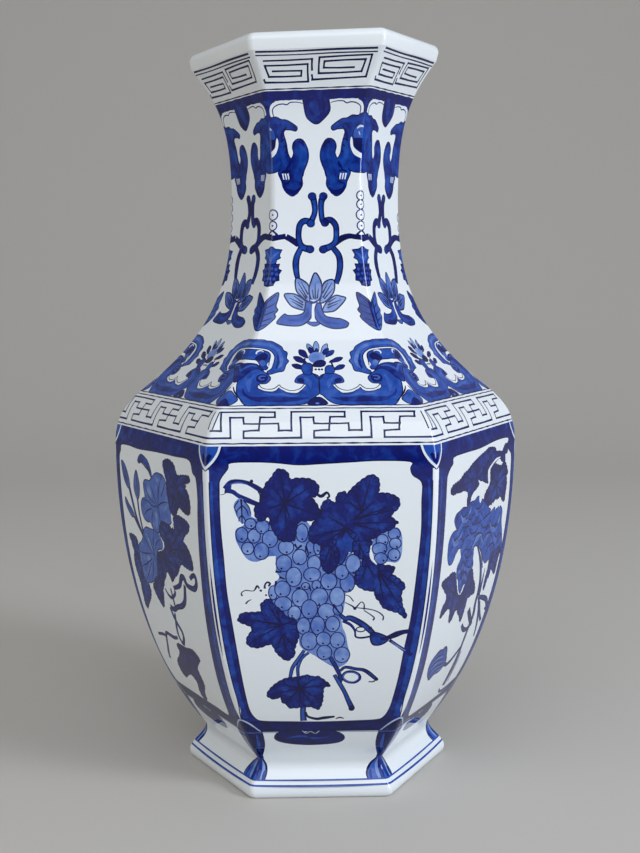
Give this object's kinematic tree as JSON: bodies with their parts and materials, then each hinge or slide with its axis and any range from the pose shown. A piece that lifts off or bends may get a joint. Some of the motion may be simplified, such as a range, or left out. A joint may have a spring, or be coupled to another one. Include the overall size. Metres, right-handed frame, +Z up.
{
  "type": "hexagonal vase",
  "caption": "Tall six-sided glazed ceramic vase with a flared mouth, slim neck, full belly and spread foot, for holding cut flowers or for display.",
  "frame": {"origin": "centre of the foot's underside, on the surface that the vase stands on", "axes": "+Z up along the vase's axis, -Y towards the front face"},
  "size_m": [0.2014, 0.1752, 0.355],
  "materials": {
    "glazed_porcelain": null
  },
  "bodies": {
    "root": {"foot_ring": "glazed_porcelain", "floor_slab": "glazed_porcelain", "belly_slab_front": "glazed_porcelain", "belly_slab_front_right": "glazed_porcelain", "belly_slab_back_right": "glazed_porcelain", "belly_slab_back": "glazed_porcelain", "belly_slab_back_left": "glazed_porcelain", "belly_slab_front_left": "glazed_porcelain", "neck_slab_front": "glazed_porcelain", "neck_slab_front_right": "glazed_porcelain", "neck_slab_back_right": "glazed_porcelain", "neck_slab_back": "glazed_porcelain", "neck_slab_back_left": "glazed_porcelain", "neck_slab_front_left": "glazed_porcelain", "mouth_rim": "glazed_porcelain"}
  },
  "joints": []
}
